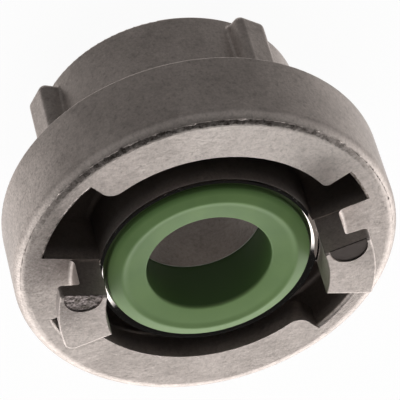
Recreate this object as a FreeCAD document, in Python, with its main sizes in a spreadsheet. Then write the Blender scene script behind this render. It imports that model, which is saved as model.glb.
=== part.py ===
import FreeCAD, Part
import Sketcher
import math
import os

# Fixed hose coupling with an inside pipe thread: one cast aluminium body and one rubber seal.
# The origin is at the middle of the hub's end face, +Z runs along the waterway towards the lugs,
# and +X runs through the middle of one lug. Lengths are in millimetres and angles in degrees.

SIZES = {
    # ring and coupling face
    "LugSpacing": 31.0,
    "RingDiameter": 53.7,
    "RingHeight": 11.7,
    "FrontHeight": 29.0,
    "FrontRound": 1.8,
    "RearBreak": 0.25,
    "RimInner": 19.45,
    "RimThick": 3.7,
    "RimFrom": 30.4,
    "RimTo": 129.2,
    "GrooveRadius": 23.2,
    "ChannelDepth": 8.05,
    "ChannelRound": 0.8,
    "NoseRound": 0.9,
    "EntryRound": 2.0,
    "RollRound": 0.55,
    # blocks and lugs
    "BlockFrom": 15.7,
    "BlockTo": 15.0,
    "LugRise": 6.75,
    "LugAngle": 29.4,
    "LugStemThick": 3.45,
    "LugHeadReach": 6.5,
    "LugHeadThick": 2.2,
    "LugTipThick": 1.95,
    "LugRootRound": 0.7,
    "LugNeckRound": 0.4,
    "LugCornerRound": 0.45,
    "LugBluntRound": 1.2,
    "LugEdgeRound": 0.3,
    "ScoopRadius": 2.7,
    "ScoopInset": 0.35,
    "ScoopDepth": 0.15,
    # collar round the seal
    "CollarGap": 0.2,
    "CollarWall": 1.05,
    "CollarRise": 0.25,
    "ConeWidth": 0.6,
    "ConeDrop": 0.27,
    "SeatDepth": 7.8,
    "KeyHeight": 1.6,
    "KeyDepth": 0.45,
    # hub and its ribs
    "HubDiameter": 37.8,
    "HubDraft": 1.5,
    "HubEndRound": 0.4,
    "HubRootRound": 0.8,
    "RibNear": 29.2,
    "RibFar": 126.3,
    "RibWidth": 5.4,
    "RibCrown": 4.7,
    "RibRise": 2.6,
    "RibSetBack": 1.4,
    "RibSideRound": 1.0,
    "RibEndRound": 0.95,
    "RibRootRound": 0.5,
    # waterway and pipe thread
    "ThreadDiameter": 33.25,
    "ThreadDepth": 12.0,
    "ThreadLead": 0.8,
    "WaterwayDiameter": 18.3,
    # seal
    "SealFit": 0.1,
    "SealMouth": 17.5,
    "SealThroat": 18.6,
    "CrestRadius": 12.25,
    "CrestRise": 1.4,
    "MouthRise": 0.75,
    "ShoulderRise": 0.6,
    "ShoulderRound": 0.25,
    "CrestRound": 0.7,
    "MouthRound": 0.3,
}

doc = FreeCAD.newDocument("hose_coupling")
sheet = doc.addObject("Spreadsheet::Sheet", "Sizes")
for row, (alias, number) in enumerate(SIZES.items(), start=1):
    sheet.set(f"A{row}", alias)
    sheet.set(f"B{row}", str(number))
    sheet.setAlias(f"B{row}", alias)
doc.recompute()

# Places that several features share, written once from the sizes.
RING_RADIUS = "(Sizes.RingDiameter / 2)"
RING_REAR = "(Sizes.FrontHeight - Sizes.RingHeight)"
RIM_UNDER = "(Sizes.FrontHeight - Sizes.RimThick)"
FLOOR = "(Sizes.FrontHeight - Sizes.ChannelDepth)"
BLOCK_OUTER = f"((Sizes.GrooveRadius + {RING_RADIUS}) / 2)"
LUG_TOP = "(Sizes.FrontHeight + Sizes.LugRise)"
LUG_INNER = "(Sizes.LugSpacing / 2)"
STEM_OUTER = f"({LUG_INNER} + Sizes.LugStemThick)"
HEAD_OUTER = f"({LUG_INNER} + Sizes.LugHeadReach)"
HEAD_MIDDLE = f"(({LUG_INNER} + {HEAD_OUTER}) / 2)"
HALF_LUG = "(Sizes.LugAngle / 2)"
COLLAR_OUTER = f"({LUG_INNER} - Sizes.CollarGap)"
COLLAR_INNER = f"({COLLAR_OUTER} - Sizes.CollarWall)"
COLLAR_TOP = "(Sizes.FrontHeight + Sizes.CollarRise)"
COLLAR_MIDDLE = f"(({COLLAR_INNER} + {COLLAR_OUTER}) / 2)"
SEAT = "(Sizes.FrontHeight - Sizes.SeatDepth)"
KEY_TOP = f"({SEAT} + Sizes.KeyHeight)"
KEY_RADIUS = f"({COLLAR_INNER} + Sizes.KeyDepth)"
HUB_RADIUS = "(Sizes.HubDiameter / 2)"
HUB_ROOT = f"({HUB_RADIUS} + {RING_REAR} * tan(Sizes.HubDraft))"
RIB_OUTER = f"({HUB_RADIUS} + Sizes.RibRise)"
THREAD_RADIUS = "(Sizes.ThreadDiameter / 2)"
LEAD_RADIUS = f"({THREAD_RADIUS} + Sizes.ThreadLead)"
WATERWAY = "(Sizes.WaterwayDiameter / 2)"
BITE = 1.0  # how far a pad is sunk into the metal that it grows from


def value(expression):
    """The number that an expression of sheet sizes stands for."""
    result = sheet.evalExpression(str(expression))
    return float(getattr(result, "Value", result))


def origin_part(body, role):
    return next(item for item in body.Origin.OriginFeatures if item.Role == role)


def new_sketch(body, name, role, height=None, turn=None):
    """A sketch on one of the body's own planes, raised along Z and turned about it where asked."""
    sketch = body.newObject("Sketcher::SketchObject", name)
    sketch.AttachmentSupport = [(origin_part(body, role), "")]
    sketch.MapMode = "FlatFace"
    if turn is not None:
        sketch.AttachmentOffset = FreeCAD.Placement(
            FreeCAD.Vector(0, 0, value(height)), FreeCAD.Rotation(FreeCAD.Vector(0, 0, 1), value(turn)))
        sketch.setExpression(".AttachmentOffset.Rotation.Angle", turn)
    if height is not None:
        sketch.setExpression(".AttachmentOffset.Base.z", height)
    return sketch


def bind(sketch, constraint, expression):
    index = sketch.addConstraint(constraint)
    sketch.setExpression(f"Constraints[{index}]", expression)


def place_point(sketch, point, spot, across, along):
    """Ties a point of the sketch to a pair of expressions, where '0' lies on an axis."""
    geometry, end = point
    if across == "0":
        sketch.addConstraint(Sketcher.Constraint("PointOnObject", geometry, end, -2))
    else:
        bind(sketch, Sketcher.Constraint("DistanceX", -1, 1, geometry, end, spot.x), across)
    if along == "0":
        sketch.addConstraint(Sketcher.Constraint("PointOnObject", geometry, end, -1))
    else:
        bind(sketch, Sketcher.Constraint("DistanceY", -1, 1, geometry, end, spot.y), along)


def rounded_corner(before, corner, after, radius):
    """Where a round of some radius leaves the two sides of a corner, and the round's centre."""
    back = (before - corner).normalize()
    ahead = (after - corner).normalize()
    half = back.getAngle(ahead) / 2
    reach = radius / math.tan(half)
    centre = corner + (back + ahead).normalize() * (radius / math.sin(half))
    left_turn = (back.cross(ahead)).z < 0
    return corner + back * reach, corner + ahead * reach, centre, left_turn


def outline_sketch(body, name, role, corners, height=None, turn=None):
    """A closed outline. Each corner is two expressions and, where it is rounded, a radius as a third."""
    sketch = new_sketch(body, name, role, height, turn)
    spots = [FreeCAD.Vector(value(corner[0]), value(corner[1]), 0) for corner in corners]
    count = len(corners)
    rounds = {}
    leave = list(spots)
    arrive = list(spots)
    for index, corner in enumerate(corners):
        if len(corner) == 3:
            before, after = spots[index - 1], spots[(index + 1) % count]
            arrive[index], leave[index], centre, left_turn = rounded_corner(
                before, spots[index], after, value(corner[2]))
            rounds[index] = (centre, left_turn)
    for index in range(count):
        sketch.addGeometry(Part.LineSegment(leave[index], arrive[(index + 1) % count]))
    for index, corner in enumerate(corners):
        side_before = (index - 1) % count
        if index not in rounds:
            sketch.addConstraint(Sketcher.Constraint("Coincident", side_before, 2, index, 1))
            place_point(sketch, (index, 1), spots[index], corner[0], corner[1])
            continue
        centre, left_turn = rounds[index]
        start, end = (arrive[index], leave[index]) if left_turn else (leave[index], arrive[index])
        radius = value(corner[2])
        angles = [math.atan2(spot.y - centre.y, spot.x - centre.x) for spot in (start, end)]
        if angles[1] < angles[0]:
            angles[1] += 2 * math.pi
        circle = Part.Circle(centre, FreeCAD.Vector(0, 0, 1), radius)
        arc = sketch.addGeometry(Part.ArcOfCircle(circle, *angles))
        point = sketch.addGeometry(Part.Point(spots[index]), True)
        first, last = (1, 2) if left_turn else (2, 1)
        sketch.addConstraint(Sketcher.Constraint("Tangent", side_before, 2, arc, first))
        sketch.addConstraint(Sketcher.Constraint("Tangent", arc, last, index, 1))
        bind(sketch, Sketcher.Constraint("Radius", arc, radius), corner[2])
        for side in (side_before, index):
            sketch.addConstraint(Sketcher.Constraint("PointOnObject", point, 1, side))
        place_point(sketch, (point, 1), spots[index], corner[0], corner[1])
    return sketch


def sector_sketch(body, name, inner, outer, start, end, height):
    """A piece of a flat ring between two radii and two angles about the Z axis."""
    sketch = new_sketch(body, name, "XY_Plane", height)
    middle = FreeCAD.Vector(0, 0, 0)
    up = FreeCAD.Vector(0, 0, 1)
    radii = (value(inner), value(outer))
    angles = [math.radians(value(angle)) for angle in (start, end)]
    for radius in radii:
        sketch.addGeometry(Part.ArcOfCircle(Part.Circle(middle, up, radius), *angles))
    for angle in angles:
        ends = [FreeCAD.Vector(radius * math.cos(angle), radius * math.sin(angle), 0) for radius in radii]
        sketch.addGeometry(Part.LineSegment(*ends))
    for arc in (0, 1):
        sketch.addConstraint(Sketcher.Constraint("Coincident", arc, 3, -1, 1))
        for side in (0, 1):
            sketch.addConstraint(Sketcher.Constraint("Coincident", arc, side + 1, side + 2, arc + 1))
    for arc, radius in enumerate((inner, outer)):
        bind(sketch, Sketcher.Constraint("Radius", arc, radii[arc]), radius)
    for side, angle in enumerate((start, end)):
        sketch.addConstraint(Sketcher.Constraint("PointOnObject", -1, 1, side + 2))
        bind(sketch, Sketcher.Constraint("Angle", side + 2, angles[side]), angle)
    return sketch


def revolve(body, name, sketch, angle=None):
    """A full turn about Z, or part of one with the sketch in its middle."""
    feature = body.newObject("PartDesign::Revolution", name)
    feature.Profile = sketch
    feature.ReferenceAxis = (sketch, ["V_Axis"])
    if angle is None:
        feature.Angle = 360
    else:
        feature.Midplane = True
        feature.setExpression("Angle", angle)
    doc.recompute()
    return feature


def groove(body, name, sketch, ahead, behind):
    """A cut turned about Z, by one angle on each side of the sketch's plane."""
    before = body.Tip.Shape.Volume
    feature = body.newObject("PartDesign::Groove", name)
    feature.Profile = sketch
    feature.ReferenceAxis = (sketch, ["V_Axis"])
    feature.Type = "TwoAngles"
    feature.setExpression("Angle", ahead)
    feature.setExpression("Angle2", behind)
    doc.recompute()
    if feature.Shape.Volume >= before:
        raise ValueError(f"{name} leaves the solid as it was")
    return feature


def extrude(body, kind, name, sketch, length):
    """A pad upwards or a pocket downwards from its sketch. A pocket has to take something away."""
    before = body.Tip.Shape.Volume
    feature = body.newObject(f"PartDesign::{kind}", name)
    feature.Profile = sketch
    feature.setExpression("Length", length)
    doc.recompute()
    grown = feature.Shape.Volume - before
    if (grown >= 0) if kind == "Pocket" else (grown <= 0):
        raise ValueError(f"{name} leaves the solid as it was")
    return feature


def half_turn(body, name, originals):
    """The same features again on the other half of the coupling."""
    pattern = body.newObject("PartDesign::PolarPattern", name)
    pattern.Originals = originals
    pattern.Axis = (origin_part(body, "Z_Axis"), [""])
    pattern.Angle = 360
    pattern.Occurrences = 2
    body.Tip = pattern
    doc.recompute()
    return pattern


def find_edges(shape, wanted):
    """Names of the edges whose middle point passes a test of radius, angle and height."""
    names = []
    for number, edge in enumerate(shape.Edges, start=1):
        middle = edge.valueAt((edge.FirstParameter + edge.LastParameter) / 2)
        radius = math.hypot(middle.x, middle.y)
        angle = math.degrees(math.atan2(middle.y, middle.x))
        if wanted(edge, radius, angle, middle.z):
            names.append(f"Edge{number}")
    return names


def fillet(body, name, radius, wanted):
    """A round on the edges that a test picks."""
    base = body.Tip
    names = find_edges(base.Shape, wanted)
    if not names:
        raise ValueError(f"{name} finds no edge")
    feature = body.newObject("PartDesign::Fillet", name)
    feature.Base = (base, names)
    feature.setExpression("Radius", radius)
    doc.recompute()


def near(left, right, slack=0.02):
    return abs(left - right) < slack


def upright(edge):
    """True where an edge runs straight up."""
    box = edge.BoundBox
    return box.ZLength > 0.1 and box.XLength + box.YLength < 0.02


def rib_root(edge, radius, angle, height):
    """True on the line where a rib's sides meet the hub or the ring."""
    hub_radius, rib_outer, ring_rear = value(HUB_RADIUS), value(RIB_OUTER), value(RING_REAR)
    slack = value("Sizes.RibRootRound")
    half_width = math.degrees((value("Sizes.RibWidth") / 2 + slack) / hub_radius)
    ribs = (-value("Sizes.RibNear"), fold(-value("Sizes.RibFar")))
    beside = any(abs(fold(angle) - rib) < half_width for rib in ribs)
    if not beside or height > ring_rear + slack / 10 or radius < hub_radius - slack / 10:
        return False
    rib_start = value("Sizes.RibSetBack") + value("Sizes.RibEndRound")
    tall = edge.BoundBox.ZLength > slack and radius < hub_radius + 2 * slack
    low = radius < hub_radius + slack and height < rib_start + slack
    top = near(height, ring_rear) and radius < rib_outer + slack / 10
    return tall or low or top


def fold(angle):
    """The same angle for both halves of the coupling face, which is alike after half a turn."""
    return (angle + 90) % 180 - 90


def build_casting():
    """The aluminium body: hub, ring, collar and lugs in one piece."""
    body = doc.addObject("PartDesign::Body", "coupling_body")
    turned = outline_sketch(body, "SectionSketch", "XZ_Plane", [
        (LEAD_RADIUS, "0"),
        (HUB_RADIUS, "0", "Sizes.HubEndRound"),
        (HUB_ROOT, RING_REAR, "Sizes.HubRootRound"),
        (RING_RADIUS, RING_REAR, "Sizes.RearBreak"),
        (RING_RADIUS, "Sizes.FrontHeight", "Sizes.FrontRound"),
        ("Sizes.RimInner", "Sizes.FrontHeight"),
        ("Sizes.RimInner", RIM_UNDER),
        ("Sizes.GrooveRadius", RIM_UNDER),
        ("Sizes.GrooveRadius", FLOOR, "Sizes.ChannelRound"),
        (COLLAR_OUTER, FLOOR, "Sizes.ChannelRound"),
        (COLLAR_OUTER, COLLAR_TOP),
        (f"{COLLAR_INNER} + Sizes.ConeWidth", COLLAR_TOP),
        (COLLAR_INNER, f"{COLLAR_TOP} - Sizes.ConeDrop"),
        (COLLAR_INNER, KEY_TOP),
        (KEY_RADIUS, KEY_TOP),
        (KEY_RADIUS, SEAT),
        (WATERWAY, SEAT),
        (WATERWAY, "Sizes.ThreadDepth"),
        (THREAD_RADIUS, "Sizes.ThreadDepth"),
        (THREAD_RADIUS, "Sizes.ThreadLead"),
    ])
    revolve(body, "Section", turned)

    # Ways in for the other coupling's lugs, cut through the rim on both sides of each lug.
    short_way = sector_sketch(body, "ShortWaySketch", f"Sizes.RimInner - {BITE}", "Sizes.GrooveRadius",
                              "0", "Sizes.RimFrom", "Sizes.FrontHeight")
    short_cut = extrude(body, "Pocket", "ShortWay", short_way, "Sizes.RimThick")
    long_way = sector_sketch(body, "LongWaySketch", f"Sizes.RimInner - {BITE}", "Sizes.GrooveRadius",
                             "Sizes.RimTo", "180", "Sizes.FrontHeight")
    long_cut = extrude(body, "Pocket", "LongWay", long_way, "Sizes.RimThick")
    half_turn(body, "BothWays", [short_cut, long_cut])
    roll_sketch = outline_sketch(body, "RollSketch", "XZ_Plane", [
        (f"Sizes.GrooveRadius - {BITE}", f"Sizes.FrontHeight - {BITE}"),
        ("Sizes.GrooveRadius", f"Sizes.FrontHeight - {BITE}"),
        ("Sizes.GrooveRadius", "Sizes.FrontHeight", "Sizes.RollRound"),
        (f"Sizes.GrooveRadius + {BITE}", "Sizes.FrontHeight"),
        (f"Sizes.GrooveRadius + {BITE}", f"Sizes.FrontHeight + {BITE}"),
        (f"Sizes.GrooveRadius - {BITE}", f"Sizes.FrontHeight + {BITE}"),
    ])
    roll = groove(body, "Roll", roll_sketch, "Sizes.RimFrom", "180 - Sizes.RimTo")
    half_turn(body, "BothRolls", [roll])

    # Each lug stands on a block that fills the channel.
    block_sketch = sector_sketch(body, "BlockSketch", COLLAR_MIDDLE, BLOCK_OUTER,
                                 "0 - Sizes.BlockFrom", "Sizes.BlockTo", f"{FLOOR} - {BITE}")
    block = extrude(body, "Pad", "Block", block_sketch, f"Sizes.ChannelDepth + {BITE}")
    half_turn(body, "BothBlocks", [block])

    # The lug is a stem with an overhanging head, part of a turned profile.
    foot = f"Sizes.FrontHeight - {BITE}"
    lug_sketch = outline_sketch(body, "LugSketch", "XZ_Plane", [
        (LUG_INNER, foot),
        (f"{STEM_OUTER} + Sizes.LugRootRound + {BITE}", foot),
        (f"{STEM_OUTER} + Sizes.LugRootRound + {BITE}", "Sizes.FrontHeight"),
        (STEM_OUTER, "Sizes.FrontHeight", "Sizes.LugRootRound"),
        (STEM_OUTER, f"{LUG_TOP} - Sizes.LugHeadThick", "Sizes.LugNeckRound"),
        (HEAD_OUTER, f"{LUG_TOP} - Sizes.LugTipThick"),
        (HEAD_OUTER, LUG_TOP),
        (LUG_INNER, LUG_TOP),
    ])
    lug = revolve(body, "Lug", lug_sketch, "Sizes.LugAngle")
    half_turn(body, "BothLugs", [lug])

    # Ribs on the hub give a spanner its grip.
    ribs = []
    for name, angle in (("NearRib", "0 - Sizes.RibNear"), ("FarRib", "0 - Sizes.RibFar")):
        rib_sketch = outline_sketch(body, f"{name}Sketch", "XY_Plane", [
            (f"{HUB_RADIUS} - {BITE}", "0 - Sizes.RibWidth / 2"),
            (RIB_OUTER, "0 - Sizes.RibCrown / 2", "Sizes.RibSideRound"),
            (RIB_OUTER, "Sizes.RibCrown / 2", "Sizes.RibSideRound"),
            (f"{HUB_RADIUS} - {BITE}", "Sizes.RibWidth / 2"),
        ], "Sizes.RibSetBack", angle)
        ribs.append(extrude(body, "Pad", name, rib_sketch, f"{RING_REAR} - Sizes.RibSetBack + {BITE}"))
    half_turn(body, "AllRibs", ribs)

    rounded_edges(body)
    return body


def rounded_edges(body):
    """Rounds left by the mould, from the ribs at the back to the lugs at the front."""
    hub_radius, set_back = value(HUB_RADIUS), value("Sizes.RibSetBack")
    front, rim_under = value("Sizes.FrontHeight"), value(RIM_UNDER)
    rim_inner = value("Sizes.RimInner")
    rim_ends = {"from": value("Sizes.RimFrom"), "to": fold(value("Sizes.RimTo"))}
    lug_top, head_outer, half_lug = value(LUG_TOP), value(HEAD_OUTER), value(HALF_LUG)
    inner = value(LUG_INNER)

    fillet(body, "RibEnds", "Sizes.RibEndRound",
           lambda edge, radius, angle, height: near(height, set_back) and radius > hub_radius + 0.1)
    fillet(body, "RimNoses", "Sizes.NoseRound",
           lambda edge, radius, angle, height: upright(edge) and near(radius, rim_inner)
           and near(fold(angle), rim_ends["from"], 0.2) and rim_under < height < front)
    fillet(body, "RimEntries", "Sizes.EntryRound",
           lambda edge, radius, angle, height: upright(edge) and near(radius, rim_inner)
           and near(fold(angle), rim_ends["to"], 0.2) and rim_under < height < front)
    fillet(body, "LugBluntCorner", "Sizes.LugBluntRound",
           lambda edge, radius, angle, height: upright(edge) and near(radius, head_outer)
           and near(angle, half_lug, 0.2))
    fillet(body, "LugCorners", "Sizes.LugCornerRound",
           lambda edge, radius, angle, height: upright(edge) and near(radius, head_outer)
           and near(abs(fold(angle)), half_lug, 0.2))
    fillet(body, "LugEdges", "Sizes.LugEdgeRound",
           lambda edge, radius, angle, height: near(height, lug_top) and radius > inner + 0.05)
    fillet(body, "RibRoots", "Sizes.RibRootRound", rib_root)


def scoop_lugs(body):
    """A shallow round-ended recess at one end of each lug's top."""
    sketch = new_sketch(body, "ScoopSketch", "XY_Plane", LUG_TOP, f"0 - {HALF_LUG}")
    centre = FreeCAD.Vector(value(HEAD_MIDDLE), value("Sizes.ScoopInset"), 0)
    radius = value("Sizes.ScoopRadius")
    sketch.addGeometry(Part.Circle(centre, FreeCAD.Vector(0, 0, 1), radius))
    place_point(sketch, (0, 3), centre, HEAD_MIDDLE, "Sizes.ScoopInset")
    bind(sketch, Sketcher.Constraint("Radius", 0, radius), "Sizes.ScoopRadius")
    scoop = extrude(body, "Pocket", "Scoop", sketch, "Sizes.ScoopDepth")
    mirror = body.newObject("PartDesign::Mirrored", "BothScoops")
    mirror.Originals = [scoop]
    mirror.MirrorPlane = (origin_part(body, "YZ_Plane"), [""])
    body.Tip = mirror
    doc.recompute()


def build_seal():
    """The rubber ring: a foot keyed into the collar, a crest that meets the other coupling's seal."""
    body = doc.addObject("PartDesign::Body", "seal")
    outer = f"({COLLAR_INNER} - Sizes.SealFit)"
    profile = outline_sketch(body, "SealSketch", "XZ_Plane", [
        ("Sizes.SealThroat / 2", SEAT),
        (f"{KEY_RADIUS} - Sizes.SealFit", SEAT),
        (f"{KEY_RADIUS} - Sizes.SealFit", f"{KEY_TOP} - Sizes.SealFit"),
        (outer, f"{KEY_TOP} - Sizes.SealFit"),
        (outer, "Sizes.FrontHeight + Sizes.ShoulderRise", "Sizes.ShoulderRound"),
        ("Sizes.CrestRadius", "Sizes.FrontHeight + Sizes.CrestRise", "Sizes.CrestRound"),
        ("Sizes.SealMouth / 2", "Sizes.FrontHeight + Sizes.MouthRise", "Sizes.MouthRound"),
    ])
    revolve(body, "Ring", profile)
    return body


casting = build_casting()
scoop_lugs(casting)
casting.Label = "coupling_body"
rubber = build_seal()
rubber.Label = "seal"
doc.recompute()

broken = [item.Name for item in doc.Objects if {"Invalid", "Error"} & set(item.State)]
if broken:
    raise ValueError(f"not recomputed cleanly: {broken}")
pieces = (casting, rubber)
for piece in pieces:
    shape = piece.Shape
    if shape.isNull() or not shape.isValid() or len(shape.Solids) != 1:
        raise ValueError(f"{piece.Label} is not one valid solid")

os.makedirs("parts", exist_ok=True)
for piece in pieces:
    piece.Shape.exportStep(f"parts/{piece.Label}.step")
    print(piece.Label, "volume", round(piece.Shape.Volume, 1), "mm3")
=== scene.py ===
import math

import bmesh
import bpy
from mathutils import Matrix, Vector, noise as fieldNoise


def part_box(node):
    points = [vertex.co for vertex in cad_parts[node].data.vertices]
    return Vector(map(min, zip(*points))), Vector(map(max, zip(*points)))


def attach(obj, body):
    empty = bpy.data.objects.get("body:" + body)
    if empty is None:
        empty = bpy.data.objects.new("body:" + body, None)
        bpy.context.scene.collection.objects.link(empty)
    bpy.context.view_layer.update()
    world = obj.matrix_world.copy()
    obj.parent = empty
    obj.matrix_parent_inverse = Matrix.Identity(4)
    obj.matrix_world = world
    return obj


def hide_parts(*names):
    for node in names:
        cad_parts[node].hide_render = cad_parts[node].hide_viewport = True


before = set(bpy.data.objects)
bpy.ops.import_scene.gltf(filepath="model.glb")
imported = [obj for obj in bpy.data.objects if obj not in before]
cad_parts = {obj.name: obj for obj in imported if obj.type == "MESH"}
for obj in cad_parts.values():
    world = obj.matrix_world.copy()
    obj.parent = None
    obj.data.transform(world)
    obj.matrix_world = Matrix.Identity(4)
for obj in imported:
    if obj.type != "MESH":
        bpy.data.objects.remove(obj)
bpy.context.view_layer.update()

mm = 0.001
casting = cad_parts["coupling_body"]
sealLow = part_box("seal")[0]
print("frame loaded")


# camera: the view that a fit to the photo's circles gives, upside down as the photo is

photoCamera = {
    "azimuth": 7.82,        # degrees, 0 looks along +Y
    "elevation": 43.5,
    "rollShade": -164.0,
    "distance": 440.6 * mm,
    "lens": 288.9,          # on a 36 mm sensor
    "aimHeight": 27.82 * mm,
    "aimRight": -1.15 * mm,
    "aimUp": -7.34 * mm,
}


def placeCamera(look):
    azimuth, elevation, rollShade = (math.radians(look[key]) for key in ("azimuth", "elevation", "rollShade"))
    back = Vector((math.sin(azimuth) * math.cos(elevation), -math.cos(azimuth) * math.cos(elevation),
                   math.sin(elevation)))
    right = Vector((math.cos(azimuth), math.sin(azimuth), 0))
    up = back.cross(right)
    aim = Vector((0, 0, look["aimHeight"])) + right * look["aimRight"] + up * look["aimUp"]
    tiltedUp = up * math.cos(rollShade) + right * math.sin(rollShade)
    tiltedRight = tiltedUp.cross(back)
    data = bpy.data.cameras.new("photoCamera")
    data.sensor_width = 36
    data.lens = look["lens"]
    data.clip_start = 0.01
    data.clip_end = 50
    camera = bpy.data.objects.new("photoCamera", data)
    turn = Matrix((tiltedRight, tiltedUp, back)).transposed()
    camera.matrix_world = Matrix.Translation(aim + back * look["distance"]) @ turn.to_4x4()
    bpy.context.scene.collection.objects.link(camera)
    bpy.context.scene.camera = camera


placeCamera(photoCamera)
print("camera placed")


# small helpers for meshes and node trees

def newPiece(name, bm, sharpAngle=None):
    bmesh.ops.recalc_face_normals(bm, faces=bm.faces)
    mesh = bpy.data.meshes.new(name)
    bm.to_mesh(mesh)
    bm.free()
    piece = bpy.data.objects.new(name, mesh)
    bpy.context.scene.collection.objects.link(piece)
    mesh.shade_smooth()
    if sharpAngle is not None:
        mesh.set_sharp_from_angle(angle=math.radians(sharpAngle))
    return piece


def spinRound(bm, geometry, steps, angle=math.tau, **settings):
    bmesh.ops.spin(bm, geom=geometry, cent=(0, 0, 0), axis=(0, 0, 1), angle=angle, steps=steps, **settings)


def newMaterial(name):
    material = bpy.data.materials.new(name)
    material.use_nodes = True
    tree = material.node_tree
    return material, tree, tree.nodes["Principled BSDF"]


def addNode(tree, kind, settings=None, **inputs):
    node = tree.nodes.new(kind)
    for key, value in (settings or {}).items():
        setattr(node, key, value)
    for key, value in inputs.items():
        socket = node.inputs[int(key[1:])] if key[0] == "i" and key[1:].isdigit() else node.inputs[key]
        if isinstance(value, bpy.types.NodeSocket):
            tree.links.new(value, socket)
        else:
            socket.default_value = value
    return node


def maths(tree, operation, first, second=0.0, third=0.0):
    return addNode(tree, "ShaderNodeMath", {"operation": operation}, i0=first, i1=second, i2=third).outputs[0]


def product(tree, first, *others):
    for other in others:
        first = maths(tree, "MULTIPLY", first, other)
    return first


def difference(tree, first, second):
    return maths(tree, "SUBTRACT", first, second)


def length(tree, first, second):
    return maths(tree, "SQRT", maths(tree, "ADD", product(tree, first, first), product(tree, second, second)))


def splitPlace(tree):
    # the place on the piece, its three coordinates and its distance from the axis
    place = addNode(tree, "ShaderNodeTexCoord").outputs["Object"]
    x, y, z = addNode(tree, "ShaderNodeSeparateXYZ", Vector=place).outputs
    return place, x, y, z, length(tree, x, y)


def ramp(tree, value, low, high):
    # 0 below low, 1 above high
    node = addNode(tree, "ShaderNodeMapRange", {"clamp": True}, Value=value)
    node.inputs["From Min"].default_value = low
    node.inputs["From Max"].default_value = high
    return node.outputs["Result"]


def noise(tree, vector, scale, detail=2.0, roughness=0.5):
    node = addNode(tree, "ShaderNodeTexNoise", Vector=vector, Scale=scale, Detail=detail, Roughness=roughness)
    return node.outputs["Fac"]


def between(tree, value, low, high, soft):
    # 1 from low to high, 0 outside
    return product(tree, ramp(tree, value, low - soft, low), ramp(tree, value, high + soft, high))


def below(tree, value, limit, soft=0.02 * mm):
    # 1 under the limit, 0 above it
    return ramp(tree, value, limit, limit - soft)


def greyRamp(tree, value, stops):
    node = addNode(tree, "ShaderNodeValToRGB", Fac=value)
    elements = node.color_ramp.elements
    elements[0].position, elements[1].position = stops[0][0], stops[-1][0]
    elements[0].color = (*[stops[0][1]] * 3, 1)
    elements[1].color = (*[stops[-1][1]] * 3, 1)
    for place, level in stops[1:-1]:
        elements.new(place).color = (level, level, level, 1)
    return node.outputs["Color"]


def mixColor(tree, factor, first, second):
    return addNode(tree, "ShaderNodeMix", {"data_type": "RGBA"}, i0=factor, i6=first, i7=second).outputs[2]


def mixLevel(tree, factor, first, second):
    return addNode(tree, "ShaderNodeMix", {"data_type": "FLOAT"}, i0=factor, i2=first, i3=second).outputs[0]


# metal: one casting, so one material that knows its turned and hollow places by radius and height

metal = {
    "castColor": (0.66, 0.595, 0.56, 1),
    "castDark": (0.54, 0.485, 0.455, 1),
    "paleSpeckAndLightColor": (0.82, 0.76, 0.72, 1),
    "patchShadeColor": (0.30, 0.265, 0.25, 1),
    "turnedColor": (0.66, 0.62, 0.59, 1),
    # dark for the skin's grain, specks and pits, and also the colour of painted shade in hollows, on flanks and
    # in the scoops
    "grimeAndShadeColor": (0.10, 0.085, 0.075, 1),
    "scoopShadeColor": (0.075, 0.063, 0.058, 1),
    "scoopShadePale": (0.25, 0.215, 0.21, 1),
    "castRoughness": 0.50,
    "roughnessSpread": 0.1,
    "turnedRoughness": 0.06,
    "mottleSize": 6 * mm,
    "grainSize": 0.32 * mm,
    "coarseSize": 0.32 * mm / 0.35,
    "speckSize": 0.55 * mm,
    "patchSize": 1.6 * mm,
    "sandSize": 0.34 * mm,
    "wrinkleSize": 0.7 * mm,
    "grainDepth": 0.022 * mm,
    "coarseShare": 1.5,
    "wrinkleShare": 12.0,
    "front": 29.0 * mm,
    "turnedRadius": 15.58 * mm,
    "turnedHeights": (28.9 * mm, 29.5 * mm),
    "threadRadius": 17.45 * mm,
    "threadTop": 12.1 * mm,
    "boreRadius": 9.5 * mm,
    "boreTop": 21.15 * mm,
    "channelRadii": (15.2 * mm, 23.3 * mm),
    "channelFloor": 20.9 * mm,
    "channelLip": 2.5 * mm,
    "channelSoft": 2.4 * mm,
    "bandRadii": (25.35 * mm, 25.95 * mm),
    "bandHeights": (-0.6 * mm, -0.012 * mm),
    "bandAlong": (-7 * mm, -22 * mm),
    "bandRagged": 0.9 * mm,
    "rollRadii": (23.1 * mm, 23.73 * mm),
    "rollHeights": (-0.7 * mm, -0.02 * mm),
    "rollAlong": (4 * mm, -4 * mm),
    "scoopAt": (18.32 * mm, -4.43 * mm),
    "scoopRadius": 2.7 * mm,
    "scoopTop": 35.65 * mm,
    "sandAcross": (12 * mm, 23 * mm),
    "sandAlong": (12 * mm, -1 * mm),
    # painted shade in patches on the front face by the lugs
    # across, along, full within, none beyond, depth
    "shadePatches": ((21.3 * mm, -4.2 * mm, 2.6 * mm, 6.2 * mm, 0.72),
                    (20.0 * mm, -3.5 * mm, 0.8 * mm, 2.6 * mm, 0.25),
                    (-20.6 * mm, -2.3 * mm, 1.2 * mm, 2.8 * mm, 0.32)),
    # where painted light makes the near part of the front lighter
    "nearFrontLightAlong": (-6 * mm, -16 * mm),
    "nearFrontLightAcross": (10 * mm, -2 * mm),
    "hubFlankAcross": (8 * mm, 15 * mm),
    "hubFlankHeights": (14 * mm, 12 * mm),
    "ringFlankAcross": (-14 * mm, -24 * mm),
    "ringFlankHeights": (28.4 * mm, 27.5 * mm),
    "depths": {"nearFrontLight": 0.55, "hubFlank": 0.2, "ringFlank": 0.15, "grain": 0.22, "patches": 0.16,
               "specks": 0.22, "paleSpecks": 0.3, "sand": 0.33, "lugFace": 0.7, "boreShade": 0.42, "hollow": 0.6},
}


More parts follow.
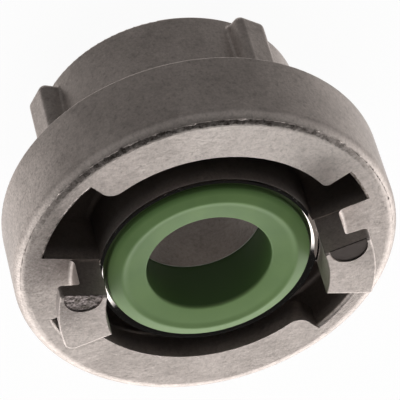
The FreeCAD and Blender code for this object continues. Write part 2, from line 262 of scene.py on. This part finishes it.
def turnedPlaces(tree, look, z, radius):
    # collar and lug inner faces in front, thread behind
    front = product(tree, below(tree, radius, look["turnedRadius"]),
                    between(tree, z, *look["turnedHeights"], 0.02 * mm))
    rear = product(tree, below(tree, radius, look["threadRadius"]), below(tree, z, look["threadTop"]))
    return maths(tree, "MAXIMUM", front, rear)


def hollowPlaces(tree, look, z, radius):
    # the channel below the front, the waterway, and the lugs' inner faces, which get painted shade
    channel = product(tree, between(tree, radius, *look["channelRadii"], 0.1 * mm),
                      between(tree, z, look["channelFloor"], look["front"] - look["channelLip"],
                              look["channelSoft"]))
    boreShade = product(tree, below(tree, radius, look["boreRadius"] + 0.1 * mm, 0.1 * mm),
                   between(tree, z, look["threadTop"], look["boreTop"], 0.1 * mm))
    lugTop = look["turnedHeights"][1]
    lugFace = product(tree, below(tree, radius, look["turnedRadius"]), ramp(tree, z, lugTop, lugTop + 0.2 * mm))
    return channel, boreShade, lugFace


def frontEdges(tree, look, place, y, z, radius):
    # a ragged dark strip on the round of the front edge towards the camera, the rough flash line darkened
    # further by painted shade, and painted shade on the rolled edge of the near opening
    reach = look["bandRagged"]
    ragged = maths(tree, "MULTIPLY_ADD", noise(tree, place, 1 / reach, 3.0, 0.6), reach, radius)
    ragged = difference(tree, ragged, reach / 2)
    low, high = (look["front"] + height for height in look["bandHeights"])
    flashAndShadeBand = product(tree, between(tree, ragged, *look["bandRadii"], 0.1 * mm),
                   between(tree, z, low, high, 0.01 * mm), ramp(tree, y, *look["bandAlong"]))
    low, high = (look["front"] + height for height in look["rollHeights"])
    rollShade = product(tree, between(tree, radius, *look["rollRadii"], 0.03 * mm),
                   between(tree, z, low, high, 0.015 * mm), ramp(tree, y, *look["rollAlong"]))
    return flashAndShadeBand, rollShade


def scoopPlaces(tree, look, x, y, z):
    away = length(tree, difference(tree, maths(tree, "ABSOLUTE", x), look["scoopAt"][0]),
                  difference(tree, y, look["scoopAt"][1]))
    return product(tree, below(tree, away, look["scoopRadius"] + 0.02 * mm, 0.05 * mm),
                   between(tree, z, look["scoopTop"] - 0.2 * mm, look["scoopTop"], 0.04 * mm))


def lightAndShadePlaces(tree, look, x, y, z):
    # painted light on the near part of the front, painted shade on the flanks of the hub and of the ring
    front, depths = look["front"], look["depths"]
    nearFrontLight = product(tree, ramp(tree, y, *look["nearFrontLightAlong"]), ramp(tree, x, *look["nearFrontLightAcross"]),
                    ramp(tree, z, front - 0.05 * mm, front - 0.01 * mm))
    hubFlank = product(tree, ramp(tree, maths(tree, "ABSOLUTE", x), *look["hubFlankAcross"]),
                       ramp(tree, z, *look["hubFlankHeights"]), depths["hubFlank"])
    ringFlank = product(tree, ramp(tree, x, *look["ringFlankAcross"]), ramp(tree, z, *look["ringFlankHeights"]),
                        depths["ringFlank"])
    return nearFrontLight, maths(tree, "MAXIMUM", hubFlank, ringFlank)


def metalMaterial(look):
    material, tree, shader = newMaterial("castAluminium")
    place, x, y, z, radius = splitPlace(tree)
    front, depths, grimeAndShade = look["front"], look["depths"], look["grimeAndShadeColor"]
    turned = turnedPlaces(tree, look, z, radius)
    channel, boreShade, lugFace = hollowPlaces(tree, look, z, radius)
    flashAndShadeBand, rollShade = frontEdges(tree, look, place, y, z, radius)
    scoop = scoopPlaces(tree, look, x, y, z)
    nearFrontLight, flankShade = lightAndShadePlaces(tree, look, x, y, z)
    mottle = noise(tree, place, 1 / look["mottleSize"], 3.0)
    grain = noise(tree, place, 1 / look["grainSize"], 3.0, 0.6)
    coarse = noise(tree, place, 1 / look["coarseSize"], 2.0, 0.5)
    specks = noise(tree, place, 1 / look["speckSize"], 3.0, 0.55)
    patches = noise(tree, place, 1 / look["patchSize"], 3.0, 0.55)
    sand = noise(tree, place, 1 / look["sandSize"], 2.0, 0.7)
    wrinkles = noise(tree, place, 1 / look["wrinkleSize"], 2.5, 0.6)

    tone = mixColor(tree, ramp(tree, mottle, 0.35, 0.7), look["castColor"], look["castDark"])
    # painted shade in patches on the front by the lugs
    for across, along, near, far, depth in look["shadePatches"]:
        away = length(tree, difference(tree, x, across), difference(tree, y, along))
        patchShade = product(tree, ramp(tree, away, far, near), ramp(tree, z, front - 0.5 * mm, front), depth)
        tone = mixColor(tree, patchShade, tone, look["patchShadeColor"])
    sandy = product(tree, ramp(tree, sand, 0.52, 0.36), ramp(tree, x, *look["sandAcross"]),
                    ramp(tree, y, *look["sandAlong"]))
    for mask, depth, color in (
        # painted light on the near part of the front
        (nearFrontLight, depths["nearFrontLight"], look["paleSpeckAndLightColor"]),
        # painted shade on the flanks of the hub and of the ring
        (flankShade, 1.0, grimeAndShade),
        (ramp(tree, grain, 0.58, 0.3), depths["grain"], grimeAndShade),
        (ramp(tree, patches, 0.5, 0.3), depths["patches"], grimeAndShade),
        (ramp(tree, specks, 0.44, 0.3), depths["specks"], grimeAndShade),
        (ramp(tree, specks, 0.58, 0.72), depths["paleSpecks"], look["paleSpeckAndLightColor"]),
        (sandy, depths["sand"], grimeAndShade),
        # the rough flash line, darkened by painted shade towards the camera
        (flashAndShadeBand, ramp(tree, specks, 0.75, 0.35), grimeAndShade),
        # painted shade on the rolled edge of the near opening
        (rollShade, ramp(tree, specks, 0.62, 0.4), grimeAndShade),
        # painted shade on the lugs' inner faces
        (lugFace, depths["lugFace"], grimeAndShade),
        # painted shade in the waterway
        (boreShade, depths["boreShade"], grimeAndShade),
    ):
        tone = mixColor(tree, product(tree, mask, depth), tone, color)

    # painted shade in the scoops, mottled and wrinkled in one of them
    wrinkledSide = ramp(tree, x, -1 * mm, 1 * mm)
    wrinkledScoopShade = mixColor(tree, ramp(tree, specks, 0.38, 0.56), grimeAndShade, look["scoopShadePale"])
    tone = mixColor(tree, scoop, tone, mixColor(tree, wrinkledSide, look["scoopShadeColor"], wrinkledScoopShade))
    tone = mixColor(tree, turned, tone, look["turnedColor"])
    # painted shade in the channel below the front
    tone = mixColor(tree, product(tree, channel, depths["hollow"]), tone, grimeAndShade)
    tree.links.new(tone, shader.inputs["Base Color"])
    shader.inputs["Metallic"].default_value = 1.0

    spread = look["roughnessSpread"]
    rough = maths(tree, "MULTIPLY_ADD", coarse, spread, look["castRoughness"] - spread / 2)
    tree.links.new(mixLevel(tree, turned, rough, look["turnedRoughness"]), shader.inputs["Roughness"])
    lumps = maths(tree, "MULTIPLY_ADD", coarse, look["coarseShare"], grain)
    wrinkled = product(tree, scoop, wrinkledSide, look["wrinkleShare"])
    lumps = maths(tree, "MULTIPLY_ADD", wrinkles, wrinkled, lumps)
    bump = addNode(tree, "ShaderNodeBump", Strength=1.0, Distance=look["grainDepth"],
                   Height=product(tree, lumps, difference(tree, 1.0, turned)))
    tree.links.new(bump.outputs["Normal"], shader.inputs["Normal"])
    return material


castMaterial = metalMaterial(metal)
casting.data.materials.clear()
casting.data.materials.append(castMaterial)
print("casting finished")


# a ragged line of flash left by the mould on the round of the front edge, and burrs on the collar

flashShape = {
    "radius": 26.05 * mm,
    "height": 28.70 * mm,
    "thick": 0.12 * mm,
    "least": 0.35,          # of thick, between the beads
    "most": 1.9,
    "drift": 0.06 * mm,
    "steps": 1080,
    "sides": 5,
    "beads": 210.0,         # round the whole edge
}
burrShape = {
    "radius": 15.29 * mm,
    "height": 29.24 * mm,
    "thick": 0.07 * mm,
    "least": -0.55,
    "most": 1.9,
    "drift": 0.0,
    "steps": 720,
    "sides": 5,
    "beads": 150.0,
}


def buildFlash(name, shape):
    bm = bmesh.new()
    rings = []
    for step in range(shape["steps"]):
        angle = math.tau * step / shape["steps"]
        out = Vector((math.cos(angle), math.sin(angle), 0))
        lump = fieldNoise.noise(out * shape["beads"] / math.tau)
        drift = fieldNoise.noise(out * 5.0 + Vector((0, 0, 9)))
        near = min(1.0, max(0.0, 0.25 - 2 * out.y))    # none on the far side
        thick = shape["thick"] * max(0.02, near * (shape["least"] + shape["most"] * max(0.0, lump)))
        centre = out * (shape["radius"] + shape["drift"] * drift)
        centre.z = shape["height"] - shape["drift"] * drift / 2
        rings.append([bm.verts.new(centre + thick * (out * math.cos(turn) + Vector((0, 0, math.sin(turn)))))
                      for turn in (math.tau * side / shape["sides"] for side in range(shape["sides"]))])
    for step, ring in enumerate(rings):
        ahead = rings[(step + 1) % shape["steps"]]
        for side in range(shape["sides"]):
            after = (side + 1) % shape["sides"]
            bm.faces.new((ring[side], ring[after], ahead[after], ahead[side]))
    piece = newPiece(name, bm)
    piece.data.materials.append(castMaterial)
    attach(piece, "root")


buildFlash("flashLine", flashShape)
buildFlash("collarBurrs", burrShape)
print("flash and burrs built")


# a light-coloured ring painted as a highlight where the waterway meets the seal's foot

edgeShape = {
    "radius": 9.22 * mm,
    "height": 21.2 * mm,
    "thick": 0.07 * mm,
    "steps": 144,
}
edgeHighlightLook = {"Base Color": (0.75, 0.72, 0.68, 1), "Metallic": 0.3, "Roughness": 0.45}


def buildEdge(shape):
    bm = bmesh.new()
    bmesh.ops.create_circle(bm, cap_ends=False, segments=8, radius=shape["thick"])
    bmesh.ops.rotate(bm, verts=bm.verts, cent=(0, 0, 0), matrix=Matrix.Rotation(math.radians(90), 3, "X"))
    bmesh.ops.translate(bm, verts=bm.verts, vec=(shape["radius"], 0, shape["height"]))
    spinRound(bm, bm.verts[:] + bm.edges[:], shape["steps"], use_merge=True)
    bmesh.ops.remove_doubles(bm, verts=bm.verts, dist=1e-7)
    return newPiece("boreEdgeHighlight", bm)


def edgeMaterial(look):
    material, tree, shader = newMaterial("edgeHighlight")
    for name in ("Base Color", "Metallic", "Roughness"):
        shader.inputs[name].default_value = look[name]
    return material


boreEdgeHighlight = buildEdge(edgeShape)
boreEdgeHighlight.data.materials.append(edgeMaterial(edgeHighlightLook))
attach(boreEdgeHighlight, "root")
print("bore edge built")


# seal: a moulded rubber ring

sealShape = {
    "throatRadius": 9.3 * mm,
    "keyRadius": 14.58 * mm,
    "keyTop": 22.7 * mm,
    "outerRadius": 14.15 * mm,
    "shoulderHeight": 29.6 * mm,
    "crestRadius": 12.25 * mm,
    "crestHeight": 30.4 * mm,
    "dishRadius": 11.55 * mm,
    "dishHeight": 30.12 * mm,
    "mouthRadius": 8.75 * mm,
    "mouthHeight": 29.75 * mm,
    "rounds": {"shoulder": 0.2 * mm, "crest": 0.25 * mm, "dish": 0.3 * mm, "mouth": 0.3 * mm},
    "steps": 144,
}


def buildSeal(shape):
    bm = bmesh.new()
    seat = sealLow.z
    corners = [
        (shape["throatRadius"], seat), (shape["keyRadius"], seat),
        (shape["keyRadius"], shape["keyTop"]), (shape["outerRadius"], shape["keyTop"]),
        (shape["outerRadius"], shape["shoulderHeight"]), (shape["crestRadius"], shape["crestHeight"]),
        (shape["dishRadius"], shape["dishHeight"]), (shape["mouthRadius"], shape["mouthHeight"]),
    ]
    verts = [bm.verts.new((radius, 0, height)) for radius, height in corners]
    for index, vert in enumerate(verts):
        bm.edges.new((vert, verts[(index + 1) % len(verts)]))
    for index, size in ((4, "shoulder"), (5, "crest"), (6, "dish"), (7, "mouth")):
        bmesh.ops.bevel(bm, geom=[verts[index]], offset=shape["rounds"][size], offset_type="OFFSET",
                        segments=6, profile=0.5, affect="VERTICES", material=-1)
    spinRound(bm, bm.verts[:] + bm.edges[:], shape["steps"], use_merge=True)
    bmesh.ops.remove_doubles(bm, verts=bm.verts, dist=1e-6)
    return newPiece("sealRing", bm, sharpAngle=40)


rubber = {
    "color": (0.132, 0.220, 0.078, 1),
    "dark": (0.108, 0.188, 0.068, 1),
    "farSideLight": (0.205, 0.310, 0.135, 1),
    "farSideLightAlong": (1 * mm, 11 * mm),
    "farSideLightDepth": 0.45,
    "shadeAcross": (13.35 * mm, 13.95 * mm),
    "shadeAlong": (-1 * mm, -9 * mm),
    "shadeDepth": 0.8,
    "throatShadeColor": (0.055, 0.115, 0.030, 1),
    "boreTop": 29.6 * mm,
    "boreRadius": 9.5 * mm,
    "roughness": 0.5,
    "specular": 0.28,
    "cloudSize": 5 * mm,
    "grainSize": 0.25 * mm,
    "grainDepth": 0.01 * mm,
}


def rubberMaterial(look):
    material, tree, shader = newMaterial("greenRubber")
    place, x, y, z, radius = splitPlace(tree)
    # painted light: the far side of the seal is lighter
    farSideLight = ramp(tree, y, *look["farSideLightAlong"])
    # painted shade down the seal's throat
    boreShade = product(tree, below(tree, radius, look["boreRadius"] + 0.1 * mm, 0.1 * mm),
                   below(tree, z, look["boreTop"], 0.5 * mm))
    shade = product(tree, ramp(tree, radius, *look["shadeAcross"]), ramp(tree, y, *look["shadeAlong"]))
    clouds = noise(tree, place, 1 / look["cloudSize"], 3.0)
    grain = noise(tree, place, 1 / look["grainSize"], 2.0)
    tone = mixColor(tree, ramp(tree, clouds, 0.35, 0.75), look["color"], look["dark"])
    tone = mixColor(tree, product(tree, farSideLight, look["farSideLightDepth"]), tone, look["farSideLight"])
    tone = mixColor(tree, boreShade, tone, look["throatShadeColor"])
    tone = mixColor(tree, product(tree, shade, look["shadeDepth"]), tone, look["throatShadeColor"])
    tree.links.new(tone, shader.inputs["Base Color"])
    shader.inputs["Roughness"].default_value = look["roughness"]
    shader.inputs["Specular IOR Level"].default_value = look["specular"]
    bump = addNode(tree, "ShaderNodeBump", Strength=0.6, Distance=look["grainDepth"], Height=grain)
    tree.links.new(bump.outputs["Normal"], shader.inputs["Normal"])
    return material


seal = buildSeal(sealShape)
seal.data.materials.append(rubberMaterial(rubber))
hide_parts("seal")
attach(seal, "root")
print("seal built")


# pipe thread in the hub

threadShape = {
    "majorRadius": 16.625 * mm,
    "minorRadius": 15.15 * mm,
    "pitch": 2.309 * mm,
    "from": 1.9 * mm,
    "to": 10.9 * mm,
    "bite": 0.06 * mm,
    "baseShare": 0.44,      # half widths, of the pitch
    "crestShare": 0.08,
    "stepsPerTurn": 72,
}


def buildThread(shape):
    bm = bmesh.new()
    base, crest = shape["majorRadius"] + shape["bite"], shape["minorRadius"]
    wide, narrow = (shape["pitch"] * share for share in (shape["baseShare"], shape["crestShare"]))
    low, rise = shape["from"], shape["to"] - shape["from"]
    face = bm.faces.new([bm.verts.new((radius, 0, low + height)) for radius, height in
                         ((base, -wide), (crest, -narrow), (crest, narrow), (base, wide))])
    turns = rise / shape["pitch"]
    steps = round(turns * shape["stepsPerTurn"])
    spinRound(bm, [face], steps, angle=math.tau * turns, dvec=(0, 0, rise / steps), use_merge=False,
              use_duplicate=False)
    return newPiece("threadTurns", bm, sharpAngle=35)


thread = buildThread(threadShape)
thread.data.materials.append(castMaterial)
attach(thread, "root")
print("thread built")


# studio: bright low on the far side, dark overhead, grey towards the camera

studio = {
    "floorColor": (0.9, 0.9, 0.9, 1),
    "floorRoughness": 0.8,
    "floorSpecular": 0.1,
    "floorWhite": 0.95,
    "floorReach": 4,
    "floorHeight": -0.02 * mm,
    "skyColor": (1, 0.985, 0.97, 1),
    "farSky": 2.9,
    "lowSky": ((0.0, 0.1), (0.33, 0.13), (0.5, 0.24), (0.72, 0.9), (0.85, 1.0)),
    "overheadSky": 0.012,
    "nearSky": 0.14,
    "nearEdge": (-0.3, -0.1),
    "skyEdge": (0.53, 0.61),
    "cardColor": (1, 0.97, 0.95, 1),
    "cardGlow": 1.2,
    "cardLevels": ((0.0, 0.105), (0.3, 0.14), (0.5, 0.33), (0.8, 1.0)),
    "cardBelow": (0.9, 0.985),
    "cardReach": 0.6,
    "cardHeight": 0.1 * mm,
    "fillPower": 2.6,
    "fillSize": 0.8,
    "fillPlace": (0.1, 0.15, 0.8),
    "fillAim": (0, 0, 0.02),
}


def farness(tree, vector):
    # 0 towards the camera, 0.5 at the sides, 1 away from it
    x, y, z = addNode(tree, "ShaderNodeSeparateXYZ", Vector=vector).outputs
    share = maths(tree, "DIVIDE", y, maths(tree, "MAXIMUM", length(tree, x, y), 1e-5))
    return maths(tree, "MULTIPLY_ADD", share, 0.5, 0.5), y, z


def newPlane(name, size, height):
    bm = bmesh.new()
    bmesh.ops.create_grid(bm, x_segments=1, y_segments=1, size=size)
    bmesh.ops.translate(bm, verts=bm.verts, vec=(0, 0, height))
    mesh = bpy.data.meshes.new(name)
    bm.to_mesh(mesh)
    bm.free()
    piece = bpy.data.objects.new(name, mesh)
    bpy.context.scene.collection.objects.link(piece)
    return piece


def buildSky(look):
    world = bpy.data.worlds.new("studio")
    bpy.context.scene.world = world
    world.use_nodes = True
    tree = world.node_tree
    background = tree.nodes["Background"]
    far, y, z = farness(tree, addNode(tree, "ShaderNodeTexCoord").outputs["Generated"])
    low = product(tree, greyRamp(tree, far, look["lowSky"]), look["farSky"])
    high = mixLevel(tree, ramp(tree, y, *look["nearEdge"]), look["nearSky"], look["overheadSky"])
    level = mixLevel(tree, ramp(tree, z, *look["skyEdge"]), low, high)
    tree.links.new(level, background.inputs["Strength"])
    background.inputs["Color"].default_value = look["skyColor"]


def buildFloor(look):
    # white to the camera and in reflections, with the object's soft shadow left on it
    floor = newPlane("floor", look["floorReach"], look["floorHeight"])
    material, tree, shader = newMaterial("paleFloor")
    shader.inputs["Base Color"].default_value = look["floorColor"]
    shader.inputs["Roughness"].default_value = look["floorRoughness"]
    shader.inputs["Specular IOR Level"].default_value = look["floorSpecular"]
    rays = addNode(tree, "ShaderNodeLightPath")
    seen = maths(tree, "MAXIMUM", rays.outputs["Is Camera Ray"], rays.outputs["Is Glossy Ray"])
    seen = maths(tree, "MAXIMUM", seen, rays.outputs["Is Transmission Ray"])
    glow = addNode(tree, "ShaderNodeEmission", Strength=1.0)
    mix = addNode(tree, "ShaderNodeMixShader", Fac=product(tree, seen, look["floorWhite"]))
    tree.links.new(shader.outputs[0], mix.inputs[1])
    tree.links.new(glow.outputs[0], mix.inputs[2])
    tree.links.new(mix.outputs[0], tree.nodes["Material Output"].inputs["Surface"])
    floor.data.materials.append(material)


def buildCard(look):
    # on the floor, seen only in reflections: dark towards the camera, bright straight down
    card = newPlane("card", look["cardReach"], look["cardHeight"])
    material, tree, shader = newMaterial("greyCard")
    ray = addNode(tree, "ShaderNodeVectorMath", {"operation": "SCALE"},
                  Vector=addNode(tree, "ShaderNodeNewGeometry").outputs["Incoming"], Scale=-1.0)
    far, y, z = farness(tree, ray.outputs[0])
    down = ramp(tree, maths(tree, "ABSOLUTE", z), *look["cardBelow"])
    level = maths(tree, "MAXIMUM", greyRamp(tree, far, look["cardLevels"]), down)
    glow = addNode(tree, "ShaderNodeEmission", Color=look["cardColor"],
                   Strength=product(tree, level, look["cardGlow"]))
    tree.links.new(glow.outputs[0], tree.nodes["Material Output"].inputs["Surface"])
    card.data.materials.append(material)
    for rays in ("camera", "diffuse", "transmission", "shadow"):
        setattr(card, "visible_" + rays, False)


def buildFill(look):
    # a soft light that shows on the rubber and the floor, not in the metal
    lamp = bpy.data.lights.new("fill", "AREA")
    lamp.shape = "DISK"
    lamp.size = look["fillSize"]
    lamp.energy = look["fillPower"]
    fill = bpy.data.objects.new("fill", lamp)
    fill.location = look["fillPlace"]
    away = Vector(look["fillPlace"]) - Vector(look["fillAim"])
    fill.rotation_euler = away.to_track_quat("Z", "Y").to_euler()
    fill.visible_glossy = False
    bpy.context.scene.collection.objects.link(fill)


for build in (buildSky, buildFloor, buildCard, buildFill):
    build(studio)
bpy.context.scene.view_settings.view_transform = "Standard"
print("studio lit")
